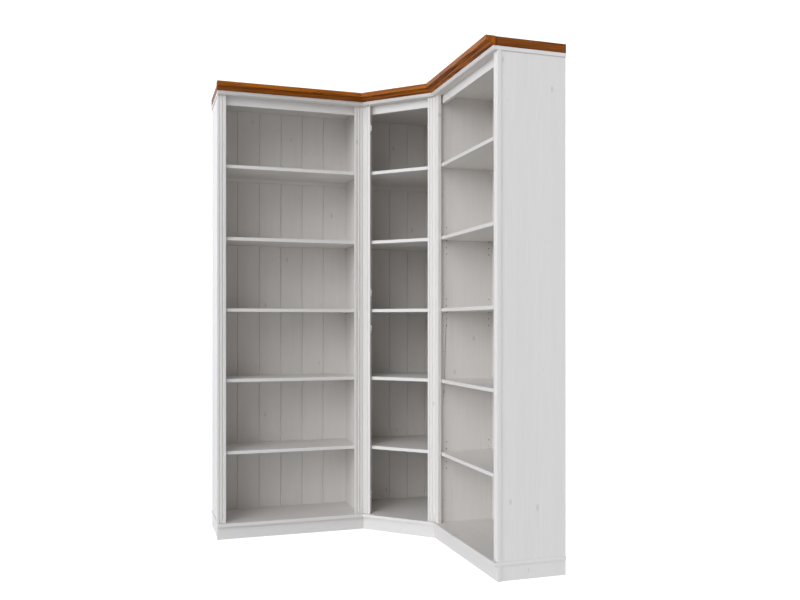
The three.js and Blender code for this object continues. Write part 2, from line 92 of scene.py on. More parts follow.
camera_data = bpy.data.cameras.new("studio_camera")
camera = bpy.data.objects.new("studio_camera", camera_data)
bpy.context.scene.collection.objects.link(camera)
camera.location = CAMERA_PLACE_M
camera.rotation_euler = (math.radians(90), 0, math.radians(CAMERA_TURN_DEGREES))
camera_data.sensor_width = SENSOR_MM
camera_data.lens = SENSOR_MM * FOCAL_LENGTH_PX / FRAME_WIDTH_PX
camera_data.shift_y = (HORIZON_PX - FRAME_HEIGHT_PX / 2) / FRAME_WIDTH_PX
bpy.context.scene.camera = camera


# Side panels
# Six upright boards of 16 mm pine, planed, drilled and wiped with a thin white limewash. The wash leaves the
# year rings as faint grey streaks and the knots as soft grey spots. The edges are eased with sandpaper.
PANEL_MM = 16
EASED_EDGE_MM = 0.6
STAVE_MM = 52
SOLID_BOARD_MM = 400
HOLES_FROM_MM = 100
HOLES_TO_MM = 2100
HOLE_FACE_MM2 = 60

LIMEWASH = "#ddd8d2"
RING_SHADE = "#d1cdc8"
KNOT_SHADE = "#b2b2af"
# Painted shade for the insides of the holes: two nearly black tones, mottled
BORE_PAINTED_SHADE = "#2a231d"
BORE_PAINTED_SHADE_LIGHTER = "#463c32"
HOLE_SHADE_MOTTLE_MM = 1.5
BORE_ROUGHNESS = 0.9

# The log: its length, and how far its heart lies beside and behind a board sawn from it
LOG_MM = 40000
LOG_SEED_STEP = 31.7
HEART_BESIDE_MM = 80
HEART_BEHIND_MM = 20
HEART_STEP_MM = 6
HEART_STEPS = 5

# Its year rings and fibres, and to the metre 7 slow bends and 45 thirsty patches, drawn out along the log
RING_SPACING_MM = 3.6
LATE_WOOD_FROM = 0.25
BEND_MM = 1000 / 7
BEND_REACH_MM = 50
PATCH_MM = 1000 / 45
PATCH_STRETCH = 10
FIBRE_WIDTH_MM = 2.6
FIBRE_STRETCH = 50

# Its knots, each in its own cell, longer along and through the board; their edges are shares of a cell
KNOT_CELL_MM = 76
KNOT_CELL_SCALE = (1, 0.3, 0.5)
KNOTTY_SHARE = 0.7
KNOT_CORE = 0.05
KNOT_EDGE = 0.12
SWIRL_EDGE = 0.4
SWIRL_MM = 12

# How much of each the limewash lets through
RINGS_SHOW = 0.8
FIBRES_SHOW = 0.5
PALE_FIBRE = 0.35
DARK_FIBRE = 0.75
PATCHES_SHOW = 0.5
STAVES_SHOW = 0.3
FULL_SHADE = 1.6
KNOTS_SHOW = 0.5
WASH_ROUGHNESS = (0.46, 0.64)
PORE_STRENGTH = 0.22
PORE_DEPTH_MM = 0.15

# How a copied board is cleaned up and eased
MERGED_MM = 0.01
FLAT_DEGREES = 1
ROUND_DEGREES = 35

# A Mix node's sockets for two colours, and for what comes out
FIRST_COLOUR = 6
SECOND_COLOUR = 7
MIXED_COLOUR = 2

UP = (0, 0, 1)
X_WAY = (1, 0, 0)
Y_WAY = (0, 1, 0)


# From sRGB hex to the linear values that shaders take
def linear(colour):
    channels = [int(colour[start:start + 2], 16) / 255 for start in (1, 3, 5)]
    return [c / 12.92 if c <= 0.04045 else ((c + 0.055) / 1.055) ** 2.4 for c in channels] + [1]


# Adds a node with its settings. Each of its inputs is given a value or another node's output
def add(tree, kind, links=None, **settings):
    node = tree.nodes.new(kind)
    for name, value in settings.items():
        setattr(node, name, value)
    for socket, source in (links or {}).items():
        if isinstance(source, bpy.types.NodeSocket):
            tree.links.new(source, node.inputs[socket])
        else:
            node.inputs[socket].default_value = source
    return node


def new_finish(name):
    material = bpy.data.materials.new(name)
    material.use_nodes = True
    return material, material.node_tree, material.node_tree.nodes["Principled BSDF"]


# Figure of pine staves glued edge to edge, each sawn beside the heart of its own log. Shares run from 0 to 1
def pine_figure(tree, middle, along, through, log, stave_mm):
    along = Vector(along).normalized()
    through = Vector(through).normalized()
    turn = Matrix((through.cross(along), through, along))
    in_board = add(tree, "ShaderNodeMapping", {
        "Vector": add(tree, "ShaderNodeTexCoord").outputs["Object"],
        "Rotation": turn.to_euler(),
        "Location": Vector((stave_mm / 2000, 0, 0)) - turn @ middle,
    }).outputs["Vector"]
    place = add(tree, "ShaderNodeSeparateXYZ", {0: in_board})
    across, depth, lengthways = (place.outputs[axis] for axis in "XYZ")
    staves = add(tree, "ShaderNodeMath", {0: across, 1: 1000 / stave_mm}, operation="MULTIPLY").outputs[0]
    stave = add(tree, "ShaderNodeMath", {0: staves}, operation="FLOOR").outputs[0]
    own_log = add(tree, "ShaderNodeMath", {0: stave, 1: LOG_SEED_STEP * log}, operation="ADD").outputs[0]
    chance = add(tree, "ShaderNodeTexWhiteNoise", {"W": own_log}, noise_dimensions="1D").outputs["Value"]
    in_stave = add(tree, "ShaderNodeMath", {0: stave, 1: -stave_mm / 1000, 2: across},
                   operation="MULTIPLY_ADD").outputs[0]
    beside_heart = add(tree, "ShaderNodeMath", {0: chance, 1: -HEART_BESIDE_MM / 1000, 2: in_stave},
                       operation="MULTIPLY_ADD").outputs[0]
    from_butt = add(tree, "ShaderNodeMath", {0: chance, 1: LOG_MM / 1000, 2: lengthways},
                    operation="MULTIPLY_ADD").outputs[0]
    heart_behind_mm = HEART_BEHIND_MM + HEART_STEP_MM * (log % HEART_STEPS)
    off_heart = add(tree, "ShaderNodeMath", {0: depth, 1: heart_behind_mm / 1000}, operation="ADD").outputs[0]
    in_log = add(tree, "ShaderNodeCombineXYZ", {
        "X": beside_heart,
        "Y": off_heart,
        "Z": from_butt,
    }).outputs["Vector"]

    knot_cells = add(tree, "ShaderNodeMapping", {
        "Vector": in_log,
        "Scale": KNOT_CELL_SCALE,
    }).outputs["Vector"]
    knots = add(tree, "ShaderNodeTexVoronoi", {"Vector": knot_cells, "Scale": 1000 / KNOT_CELL_MM})
    knot_chance = add(tree, "ShaderNodeSeparateXYZ", {0: knots.outputs["Color"]}).outputs["X"]
    absent = add(tree, "ShaderNodeMath", {0: knot_chance, 1: KNOTTY_SHARE},
                 operation="GREATER_THAN").outputs[0]
    from_knot = add(tree, "ShaderNodeMath", {0: absent, 1: knots.outputs["Distance"]},
                    operation="ADD").outputs[0]
    knot = add(tree, "ShaderNodeMapRange", {
        "Value": from_knot,
        "From Min": KNOT_CORE,
        "From Max": KNOT_EDGE,
        "To Min": 1,
        "To Max": 0,
    }, interpolation_type="SMOOTHERSTEP").outputs["Result"]
    swirl = add(tree, "ShaderNodeMapRange", {
        "Value": from_knot,
        "From Min": 0,
        "From Max": SWIRL_EDGE,
        "To Min": SWIRL_MM / 1000,
        "To Max": 0,
    }, interpolation_type="SMOOTHERSTEP").outputs["Result"]

    slow = add(tree, "ShaderNodeMapping", {
        "Vector": in_log,
        "Scale": (1, 1, 1 / PATCH_STRETCH),
    }).outputs["Vector"]
    bend = add(tree, "ShaderNodeTexNoise", {
        "Vector": slow,
        "Scale": 1000 / BEND_MM,
        "Detail": 1,
    }).outputs["Fac"]
    patch = add(tree, "ShaderNodeTexNoise", {
        "Vector": slow,
        "Scale": 1000 / PATCH_MM,
        "Detail": 2,
    }).outputs["Fac"]
    crossways = add(tree, "ShaderNodeVectorMath", {0: in_log, 1: (1, 1, 0)},
                    operation="MULTIPLY").outputs["Vector"]
    from_heart = add(tree, "ShaderNodeVectorMath", {0: crossways}, operation="LENGTH").outputs["Value"]
    bent = add(tree, "ShaderNodeMath", {0: bend, 1: BEND_REACH_MM / 1000, 2: from_heart},
               operation="MULTIPLY_ADD").outputs[0]
    round_knots = add(tree, "ShaderNodeMath", {0: bent, 1: swirl}, operation="ADD").outputs[0]
    half_rings = add(tree, "ShaderNodeMath", {0: round_knots, 1: 2000 / RING_SPACING_MM},
                     operation="MULTIPLY").outputs[0]
    ring_share = add(tree, "ShaderNodeMath", {0: half_rings, 1: 1}, operation="PINGPONG").outputs[0]
    ring = add(tree, "ShaderNodeMapRange", {
        "Value": ring_share,
        "From Min": LATE_WOOD_FROM,
        "From Max": 1,
    }, interpolation_type="SMOOTHSTEP").outputs["Result"]
    drawn_out = add(tree, "ShaderNodeMapping", {
        "Vector": in_log,
        "Scale": (1, 1, 1 / FIBRE_STRETCH),
    }).outputs["Vector"]
    fibre = add(tree, "ShaderNodeTexNoise", {
        "Vector": drawn_out,
        "Scale": 1000 / FIBRE_WIDTH_MM,
        "Detail": 3,
        "Roughness": 0.6,
    }).outputs["Fac"]
    return {"ring": ring, "fibre": fibre, "knot": knot, "patch": patch, "stave": chance}


# Limewash over planed pine: nearly white and matt, the figure just visible, the pores open
def limewashed_pine(name, middle, along, through, log, stave_mm):
    material, tree, surface = new_finish(name)
    figure = pine_figure(tree, middle, along, through, log, stave_mm)
    under_wash = add(tree, "ShaderNodeMath", {0: figure["ring"], 1: figure["patch"]},
                     operation="MULTIPLY").outputs[0]
    streak = add(tree, "ShaderNodeMapRange", {
        "Value": figure["fibre"],
        "From Min": PALE_FIBRE,
        "From Max": DARK_FIBRE,
        "To Max": FIBRES_SHOW,
    }).outputs["Result"]
    shown = add(tree, "ShaderNodeMath", {0: under_wash, 1: RINGS_SHOW, 2: streak},
                operation="MULTIPLY_ADD").outputs[0]
    uneven = add(tree, "ShaderNodeMath", {0: figure["patch"], 1: PATCHES_SHOW, 2: shown},
                 operation="MULTIPLY_ADD").outputs[0]
    board_tone = add(tree, "ShaderNodeMath", {0: figure["stave"], 1: STAVES_SHOW, 2: uneven},
                     operation="MULTIPLY_ADD").outputs[0]
    share = add(tree, "ShaderNodeMapRange", {
        "Value": board_tone,
        "From Max": FULL_SHADE,
        "To Max": 1,
    }).outputs["Result"]
    washed = add(tree, "ShaderNodeMix", {
        "Factor": share,
        FIRST_COLOUR: linear(LIMEWASH),
        SECOND_COLOUR: linear(RING_SHADE),
    }, data_type="RGBA").outputs[MIXED_COLOUR]
    faint_knot = add(tree, "ShaderNodeMath", {0: figure["knot"], 1: KNOTS_SHOW},
                     operation="MULTIPLY").outputs[0]
    coloured = add(tree, "ShaderNodeMix", {
        "Factor": faint_knot,
        FIRST_COLOUR: washed,
        SECOND_COLOUR: linear(KNOT_SHADE),
    }, data_type="RGBA").outputs[MIXED_COLOUR]
    roughness = add(tree, "ShaderNodeMapRange", {
        "Value": figure["fibre"],
        "To Min": WASH_ROUGHNESS[0],
        "To Max": WASH_ROUGHNESS[1],
    }).outputs["Result"]
    pores = add(tree, "ShaderNodeBump", {
        "Height": shown,
        "Strength": PORE_STRENGTH,
        "Distance": PORE_DEPTH_MM / 1000,
    }, invert=True).outputs["Normal"]
    tree.links.new(coloured, surface.inputs["Base Color"])
    tree.links.new(roughness, surface.inputs["Roughness"])
    tree.links.new(pores, surface.inputs["Normal"])
    return material


def middle_of(piece):
    corners = [Vector(corner) for corner in piece.bound_box]
    return sum(corners, Vector()) / len(corners)


def deselect_everything():
    for each in bpy.context.view_layer.objects:
        each.select_set(False)


def apply_modifiers(piece):
    for modifier in list(piece.modifiers):
        bpy.ops.object.modifier_apply(modifier=modifier.name)


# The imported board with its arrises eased, which then stands for it
def eased_copy(node_name, ease_mm, name):
    deselect_everything()
    board = bpy.data.objects.new(name, nodes[node_name].data.copy())
    bpy.context.scene.collection.objects.link(board)
    bpy.context.view_layer.objects.active = board
    board.select_set(True)
    board.data.materials.clear()
    bpy.ops.mesh.customdata_custom_splitnormals_clear()
    bpy.ops.object.mode_set(mode="EDIT")
    bpy.ops.mesh.select_all(action="SELECT")
    bpy.ops.mesh.remove_doubles(threshold=MERGED_MM / 1000)
    bpy.ops.mesh.dissolve_limited(angle_limit=math.radians(FLAT_DEGREES))
    bpy.ops.object.mode_set(mode="OBJECT")
    bpy.ops.object.shade_smooth_by_angle(angle=math.radians(ROUND_DEGREES))
    easing = board.modifiers.new("eased_edges", "BEVEL")
    easing.limit_method = "ANGLE"
    easing.angle_limit = math.radians(ROUND_DEGREES)
    easing.width = ease_mm / 1000
    easing.segments = 2
    easing.use_clamp_overlap = False
    flat_faces = board.modifiers.new("flat_faces", "WEIGHTED_NORMAL")
    flat_faces.keep_sharp = True
    apply_modifiers(board)
    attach(board, nodes[node_name]["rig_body"])
    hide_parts(node_name)
    return board


logs = itertools.count(1)


def finish_in_limewash(piece, along, through, stave_mm):
    finish = limewashed_pine(piece.name + "_limewash", middle_of(piece), along, through, next(logs), stave_mm)
    piece.data.materials.append(finish)


# Painted shade inside a drilled hole: its walls and floor coloured nearly black, mottled like dust
def hole_painted_shade(name):
    material, tree, surface = new_finish(name)
    hole_mottle = add(tree, "ShaderNodeTexNoise", {
        "Vector": add(tree, "ShaderNodeTexCoord").outputs["Object"],
        "Scale": 1000 / HOLE_SHADE_MOTTLE_MM,
        "Detail": 2,
    }).outputs["Fac"]
    coloured = add(tree, "ShaderNodeMix", {
        "Factor": hole_mottle,
        FIRST_COLOUR: linear(BORE_PAINTED_SHADE),
        SECOND_COLOUR: linear(BORE_PAINTED_SHADE_LIGHTER),
    }, data_type="RGBA").outputs[MIXED_COLOUR]
    surface.inputs["Roughness"].default_value = BORE_ROUGHNESS
    tree.links.new(coloured, surface.inputs["Base Color"])
    return material


# The small faces inside a panel's thickness are the walls and floors of its holes, and get the painted shade
def paint_shade_in_holes(panel, outer_corner, through, into_bookcase):
    panel.data.materials.append(hole_shade_finish)
    for face in panel.data.polygons:
        depth_mm = (face.center - outer_corner).dot(through) * into_bookcase * 1000
        in_wood = EASED_EDGE_MM < depth_mm < PANEL_MM - EASED_EDGE_MM
        at_hole_height = HOLES_FROM_MM < face.center.z * 1000 < HOLES_TO_MM
        if in_wood and at_hole_height and face.area * 1e6 < HOLE_FACE_MM2:
            face.material_index = 1


# For each panel, the way through it and the side on which its bookcase lies
SIDE_PANELS = {
    "left_outer_side_panel": (X_WAY, 1),
    "left_inner_side_panel": (X_WAY, -1),
    "corner_left_side_panel": (X_WAY, 1),
    "corner_right_side_panel": (Y_WAY, 1),
    "right_inner_side_panel": (Y_WAY, -1),
    "right_outer_side_panel": (Y_WAY, 1),
}

hole_shade_finish = hole_painted_shade("hole_painted_shade")
for node_name, (through, into_bookcase) in SIDE_PANELS.items():
    panel = eased_copy(node_name, EASED_EDGE_MM, node_name + "_eased")
    finish_in_limewash(panel, UP, through, STAVE_MM)
    outer_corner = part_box(node_name)[0 if into_bookcase > 0 else 1]
    paint_shade_in_holes(panel, outer_corner, Vector(through), into_bookcase)


# Tongue-and-groove backs
# Narrow upright pine boards, 10 mm thick, each with a tongue on one edge and a groove on the other, pushed
# together and nailed from behind. Their front arrises are planed off, so a V runs down every joint.
JOINT_GAP_MM = 0.6
VEE_MM = 3
TONGUE_MARGIN_MM = 3.5
TONGUE_REACH_MM = 4
WING_BOARD_SHARES = (0.188, 0.1615, 0.1615, 0.1615, 0.1615, 0.166)
CORNER_BOARD_SHARES = (0.078, 0.18, 0.18, 0.18, 0.18, 0.202)
ON_FACE_MM = 0.1
SAME_WAY = 0.99
VEE_SMOOTH_DEGREES = 20

# The walls meet at the far corner of the unit's own box
ROOM_CORNER_MM = cad_box[1][0] * 1000


# A place is given along the wall from the room's corner, out from the wall, and up from the floor
def at_wall(wall, along_mm, out_mm, up_mm):
    along = (ROOM_CORNER_MM - along_mm) / 1000
    out = (ROOM_CORNER_MM - out_mm) / 1000
    return Vector((along, out, up_mm / 1000)) if wall == "left" else Vector((out, along, up_mm / 1000))


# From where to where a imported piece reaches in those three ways
def reach_mm(wall, node_name):
    low, high = (corner * 1000 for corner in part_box(node_name))
    along, out = (0, 1) if wall == "left" else (1, 0)
    return {
        "along": (ROOM_CORNER_MM - high[along], ROOM_CORNER_MM - low[along]),
        "out": (ROOM_CORNER_MM - high[out], ROOM_CORNER_MM - low[out]),
        "up": (low.z, high.z),
    }


def block(name, one_corner, other_corner):
    deselect_everything()
    low = Vector(map(min, one_corner, other_corner))
    high = Vector(map(max, one_corner, other_corner))
    bpy.ops.mesh.primitive_cube_add(size=1, location=(low + high) / 2, scale=high - low)
    piece = bpy.context.active_object
    piece.name = name
    bpy.ops.object.transform_apply(location=True, rotation=True, scale=True)
    return piece


# Selects the faces or edges that pass a test, in edit mode
def choose(kind, test):
    bpy.context.tool_settings.mesh_select_mode = (False, kind == "edges", kind == "faces")
    drawn = bmesh.from_edit_mesh(bpy.context.edit_object.data)
    for group in (drawn.verts, drawn.edges, drawn.faces):
        for part in group:
            part.select_set(False)
    for part in getattr(drawn, kind):
        if test(part):
            part.select_set(True)
    bmesh.update_edit_mesh(bpy.context.edit_object.data)


def tongue_and_groove_board(name, wall, reach, first, last):
    rear_foot = at_wall(wall, reach["along"][0], reach["out"][0], reach["up"][0])
    front_head = at_wall(wall, reach["along"][1], reach["out"][1], reach["up"][1])
    board = block(name, rear_foot, front_head)
    along = (at_wall(wall, 1, 0, 0) - at_wall(wall, 0, 0, 0)).normalized()
    out = (at_wall(wall, 0, 1, 0) - at_wall(wall, 0, 0, 0)).normalized()

    def is_front_arris(edge):
        foot, head = (corner.co for corner in edge.verts)
        upright = abs((head - foot).normalized().z) > SAME_WAY
        return upright and abs((foot - front_head).dot(out)) * 1000 < ON_FACE_MM

    bpy.ops.object.mode_set(mode="EDIT")
    choose("edges", is_front_arris)
    bpy.ops.mesh.bevel(offset=VEE_MM / 1000, offset_type="OFFSET", segments=1)
    for side in ([] if first else [-along]) + ([] if last else [along]):
        choose("faces", lambda face: face.normal.dot(side) > SAME_WAY)
        bpy.ops.mesh.inset(thickness=(TONGUE_MARGIN_MM - VEE_MM / 2) / 1000, use_even_offset=True)
        bpy.ops.mesh.extrude_region_move(TRANSFORM_OT_translate={"value": along * TONGUE_REACH_MM / 1000})
    bpy.ops.object.mode_set(mode="OBJECT")
    bpy.ops.object.shade_smooth_by_angle(angle=math.radians(VEE_SMOOTH_DEGREES))
    return board


def matchboard_back(node_name, wall, shares):
    back = reach_mm(wall, node_name)
    start_mm = back["along"][0]
    width_mm = back["along"][1] - start_mm
    for number, share in enumerate(shares, start=1):
        end_mm = start_mm + share * width_mm
        first, last = number == 1, number == len(shares)
        along_mm = (start_mm + (0 if first else JOINT_GAP_MM / 2), end_mm - (0 if last else JOINT_GAP_MM / 2))
        reach = {**back, "along": along_mm}
        board = tongue_and_groove_board(f"{node_name}_{number}", wall, reach, first, last)
        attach(board, "root")
        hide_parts(node_name)
        finish_in_limewash(board, UP, Y_WAY if wall == "left" else X_WAY, SOLID_BOARD_MM)
        start_mm = end_mm


matchboard_back("left_back_boards", "left", WING_BOARD_SHARES)
matchboard_back("corner_left_back_boards", "left", CORNER_BOARD_SHARES)
matchboard_back("corner_right_back_boards", "right", CORNER_BOARD_SHARES)
matchboard_back("right_back_boards", "right", WING_BOARD_SHARES)


# Tops, bottoms and fixed shelves
# Boards of 16 mm pine that hold the side panels apart, their grain along the wall or the diagonal front. Each
# fixed shelf has a pine cleat under its rear edge and is drawn tight by four zinc cam fasteners, sunk in
# bores in its underside.
SHELF_MM = 16
CAM_RADIUS_MM = 4.4
CAM_DEPTH_MM = 8
CAM_RECESS_MM = 1.2
CAM_ROUND_MM = 0.5
CAM_SLOT_WIDTH_MM = 1.2
CAM_SLOT_LENGTH_MM = 5.6
CAM_SLOT_DEPTH_MM = 2
CAM_INSET_MM = 31
CAM_ROWS_MM = (71, 231)
CAM_SMOOTH_DEGREES = 30
SMALL_ROUND_SIDES = 24
ZINC = "#8f8e8a"
ZINC_DULL = "#6b6a67"
ZINC_ROUGHNESS = (0.35, 0.6)
CAST_GRAIN_MM = 0.7
DIAGONAL = (1, -1, 0)
INTO_CORNER = (1, 1, 0)
BOARD_WAYS = {"left": X_WAY, "corner": DIAGONAL, "right": Y_WAY}
FRONT_WAYS = {"left": Y_WAY, "corner": INTO_CORNER, "right": X_WAY}


# The boards that lie flat in the three bookcases, glued up from staves
def lay_boards(parts):
    for side, along in BOARD_WAYS.items():
        for part in parts:
            node_name = f"{side}_{part}"
            board = eased_copy(node_name, EASED_EDGE_MM, node_name + "_eased")
            finish_in_limewash(board, along, UP, STAVE_MM)


# Zinc die casting, tumbled: grey, dull and finely mottled
def cast_zinc(name):
    material, tree, surface = new_finish(name)
    mottle = add(tree, "ShaderNodeTexNoise", {
        "Vector": add(tree, "ShaderNodeTexCoord").outputs["Object"],
        "Scale": 1000 / CAST_GRAIN_MM,
        "Detail": 2,
    }).outputs["Fac"]
    coloured = add(tree, "ShaderNodeMix", {
        "Factor": mottle,
        FIRST_COLOUR: linear(ZINC),
        SECOND_COLOUR: linear(ZINC_DULL),
    }, data_type="RGBA").outputs[MIXED_COLOUR]
    roughness = add(tree, "ShaderNodeMapRange", {
        "Value": mottle,
        "To Min": ZINC_ROUGHNESS[0],
        "To Max": ZINC_ROUGHNESS[1],
    }).outputs["Result"]
    surface.inputs["Metallic"].default_value = 1
    tree.links.new(coloured, surface.inputs["Base Color"])
    tree.links.new(roughness, surface.inputs["Roughness"])
    return material


# Joins a shape to a piece, or cuts it out, and removes the shape
def shape_by(piece, operation, shape):
    deselect_everything()
    bpy.context.view_layer.objects.active = piece
    piece.select_set(True)
    change = piece.modifiers.new("change", "BOOLEAN")
    change.operation = operation
    change.object = shape
    bpy.ops.object.modifier_apply(modifier=change.name)
    bpy.data.objects.remove(shape)


# An upright round bar between two heights
def round_bar(radius_mm, centre_y_mm, low_mm, high_mm, sides):
    deselect_everything()
    bpy.ops.mesh.primitive_cylinder_add(vertices=sides, radius=radius_mm / 1000,
                                        depth=(high_mm - low_mm) / 1000,
                                        location=(0, centre_y_mm / 1000, (low_mm + high_mm) / 2000))
    bpy.ops.object.transform_apply(location=True, rotation=True, scale=True)
    return bpy.context.active_object


# Rounds the edge of the end face that looks up or down
def round_end(way_up, round_mm, segments):
    bpy.ops.object.mode_set(mode="EDIT")
    choose("faces", lambda face: face.normal.z * way_up > SAME_WAY)
    bpy.ops.mesh.bevel(offset=round_mm / 1000, offset_type="OFFSET", segments=segments, affect="EDGES")
    bpy.ops.object.mode_set(mode="OBJECT")


def cam_fastener():
    cam = round_bar(CAM_RADIUS_MM, 0, CAM_RECESS_MM, CAM_RECESS_MM + CAM_DEPTH_MM, SMALL_ROUND_SIDES)
    round_end(-1, CAM_ROUND_MM, 2)
    for size in ((CAM_SLOT_LENGTH_MM, CAM_SLOT_WIDTH_MM), (CAM_SLOT_WIDTH_MM, CAM_SLOT_LENGTH_MM)):
        reach = Vector((size[0] / 2000, size[1] / 2000, CAM_SLOT_DEPTH_MM / 1000))
        face = Vector((0, 0, CAM_RECESS_MM / 1000))
        shape_by(cam, "DIFFERENCE", block("slot_cutter", face - reach, face + reach))
    bpy.ops.object.shade_smooth_by_angle(angle=math.radians(CAM_SMOOTH_DEGREES))
    return cam


# A copy of a small fitting with its own mesh, its place in the mesh
def copy_at(pattern, name, placement):
    piece = bpy.data.objects.new(name, pattern.data.copy())
    bpy.context.scene.collection.objects.link(piece)
    piece.data.transform(placement)
    return piece


lay_boards(("top_board", "bottom_board", "shelf_1", "shelf_4"))

pattern_cam = cam_fastener()
zinc = cast_zinc("cast_zinc")
for side, wall in (("left", "left"), ("corner", "left"), ("right", "right")):
    for shelf in ("shelf_1", "shelf_4"):
        reach = reach_mm(wall, f"{side}_{shelf}")
        underside_mm = reach["up"][1] - SHELF_MM
        near_mm, far_mm = reach["along"][0] + CAM_INSET_MM, reach["along"][1] - CAM_INSET_MM
        if side == "corner":
            places = [place for row in CAM_ROWS_MM for place in ((far_mm, row), (row, far_mm))]
        else:
            places = [(along_mm, row) for along_mm in (near_mm, far_mm) for row in CAM_ROWS_MM]
        for number, (along_mm, out_mm) in enumerate(places, start=1):
            cam = copy_at(pattern_cam, f"{side}_{shelf}_cam_{number}",
                          Matrix.Translation(at_wall(wall, along_mm, out_mm, underside_mm)))
            cam.data.materials.append(zinc)
            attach(cam, "root")
bpy.data.objects.remove(pattern_cam)


# Adjustable shelves and their pins
# Nine loose boards of 16 mm pine, each lying on four nickel-plated steel pins that are pushed into the side
# panels. A pin has a thin collar against the panel and a rounded end.
PIN_RADIUS_MM = 2.45
PIN_REACH_MM = 9.2
PIN_END_ROUND_MM = 1.4
PIN_CENTRE_DROP_MM = 2.6
PIN_SMOOTH_DEGREES = 35
COLLAR_RADIUS_MM = 3.6
COLLAR_THICKNESS_MM = 0.6
SIDEWAYS = 0.1
PIN_COLUMNS_MM = (32, 256)
NICKEL = "#c6c3bc"
NICKEL_SCUFFED = "#a19e98"
NICKEL_ROUGHNESS = (0.24, 0.45)
SCUFF_MM = 2.5
SCUFFED_FROM = 0.45
SCUFFED_TO = 0.8


# Nickel plate on drawn steel: bright, a little warm, dulled where it was handled
def nickel_plate(name):
    material, tree, surface = new_finish(name)
    scuffs = add(tree, "ShaderNodeTexNoise", {
        "Vector": add(tree, "ShaderNodeTexCoord").outputs["Object"],
        "Scale": 1000 / SCUFF_MM,
        "Detail": 4,
        "Roughness": 0.65,
    }).outputs["Fac"]
    share = add(tree, "ShaderNodeMapRange", {
        "Value": scuffs,
        "From Min": SCUFFED_FROM,
        "From Max": SCUFFED_TO,
    }).outputs["Result"]
    coloured = add(tree, "ShaderNodeMix", {
        "Factor": share,
        FIRST_COLOUR: linear(NICKEL),
        SECOND_COLOUR: linear(NICKEL_SCUFFED),
    }, data_type="RGBA").outputs[MIXED_COLOUR]
    roughness = add(tree, "ShaderNodeMapRange", {
        "Value": share,
        "To Min": NICKEL_ROUGHNESS[0],
        "To Max": NICKEL_ROUGHNESS[1],
    }).outputs["Result"]
    surface.inputs["Metallic"].default_value = 1
    tree.links.new(coloured, surface.inputs["Base Color"])
    tree.links.new(roughness, surface.inputs["Roughness"])
    return material


def shelf_pin():
    pin = round_bar(PIN_RADIUS_MM, 0, 0, PIN_REACH_MM, SMALL_ROUND_SIDES)
    round_end(1, PIN_END_ROUND_MM, 4)
    bpy.ops.object.mode_set(mode="EDIT")
    bpy.ops.mesh.select_all(action="SELECT")
    bpy.ops.mesh.bisect(plane_co=(0, 0, COLLAR_THICKNESS_MM / 1000), plane_no=UP)
    choose("faces", lambda face: abs(face.normal.z) < SIDEWAYS
           and face.calc_center_median().z * 1000 < COLLAR_THICKNESS_MM)
    bpy.ops.mesh.extrude_region_shrink_fatten(
        TRANSFORM_OT_shrink_fatten={"value": (COLLAR_RADIUS_MM - PIN_RADIUS_MM) / 1000})
    bpy.ops.object.mode_set(mode="OBJECT")
    bpy.ops.object.shade_smooth_by_angle(angle=math.radians(PIN_SMOOTH_DEGREES))
    return pin


lay_boards(("shelf_2", "shelf_3", "shelf_5"))

pattern_pin = shelf_pin()
nickel = nickel_plate("nickel_plate")
for side, walls in (("left", ("left",)), ("corner", ("left", "right")), ("right", ("right",))):
    near_mm, far_mm = reach_mm(walls[0], f"{side}_bottom_board")["along"]
    panel_faces = ((far_mm, -1),) if side == "corner" else ((near_mm, 1), (far_mm, -1))
    for shelf in ("shelf_2", "shelf_3", "shelf_5"):
        height_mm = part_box(f"{side}_{shelf}")[0].z * 1000 - PIN_CENTRE_DROP_MM
        places = itertools.product(walls, panel_faces, PIN_COLUMNS_MM)
        for number, (wall, (face_mm, way), out_mm) in enumerate(places, start=1):
            foot = at_wall(wall, face_mm, out_mm, height_mm)
            reach = (at_wall(wall, face_mm + way, out_mm, height_mm) - foot).normalized()
            pin = copy_at(pattern_pin, f"{side}_{shelf}_pin_{number}",
                          Matrix.Translation(foot) @ reach.to_track_quat("Z", "Y").to_matrix().to_4x4())
            pin.data.materials.append(nickel)
            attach(pin, "root")
bpy.data.objects.remove(pattern_pin)


# Front frames
# Fluted stiles, plain rails under the tops and plinth boards, all 16 mm pine, screwed to the carcasses from
# behind. Two round flutes were run down each stile with a core-box cutter.
WING_STILES = ("outer_stile", "inner_stile")
CORNER_STILES = ("left_stile", "right_stile")


def front_board(node_name, along, through, ease_mm):
    board = eased_copy(node_name, ease_mm, node_name + "_eased")
    finish_in_limewash(board, along, through, SOLID_BOARD_MM)


for side, along in BOARD_WAYS.items():
    for part in ("top_rail", "plinth_board"):
        front_board(f"{side}_{part}", along, FRONT_WAYS[side], EASED_EDGE_MM)
    for part in CORNER_STILES if side == "corner" else WING_STILES:
        front_board(f"{side}_{part}", UP, FRONT_WAYS[side], EASED_EDGE_MM)


# White mouldings
# A round-nosed floor moulding on the plinth and a quirked quarter round under the cornice, both run in pine,
# mitred at the two joints and limewashed like the rest. A flat band carries them round each free side.
EASED_MOULDING_MM = 0.4

for side, along in BOARD_WAYS.items():
    for part in ("base_moulding", "necking_moulding"):
        front_board(f"{side}_{part}", along, FRONT_WAYS[side], EASED_MOULDING_MM)


# Cornice
# A crown moulding along the three fronts and a plain board along each free side, in pine stained a warm brown
# and given a satin lacquer. The stain sinks deeper into the soft early wood, so the figure stands out.
STAIN_LIGHT = "#bd6b14"
STAIN_MIDDLE = "#95510e"
STAIN_DARK = "#5a2d0a"
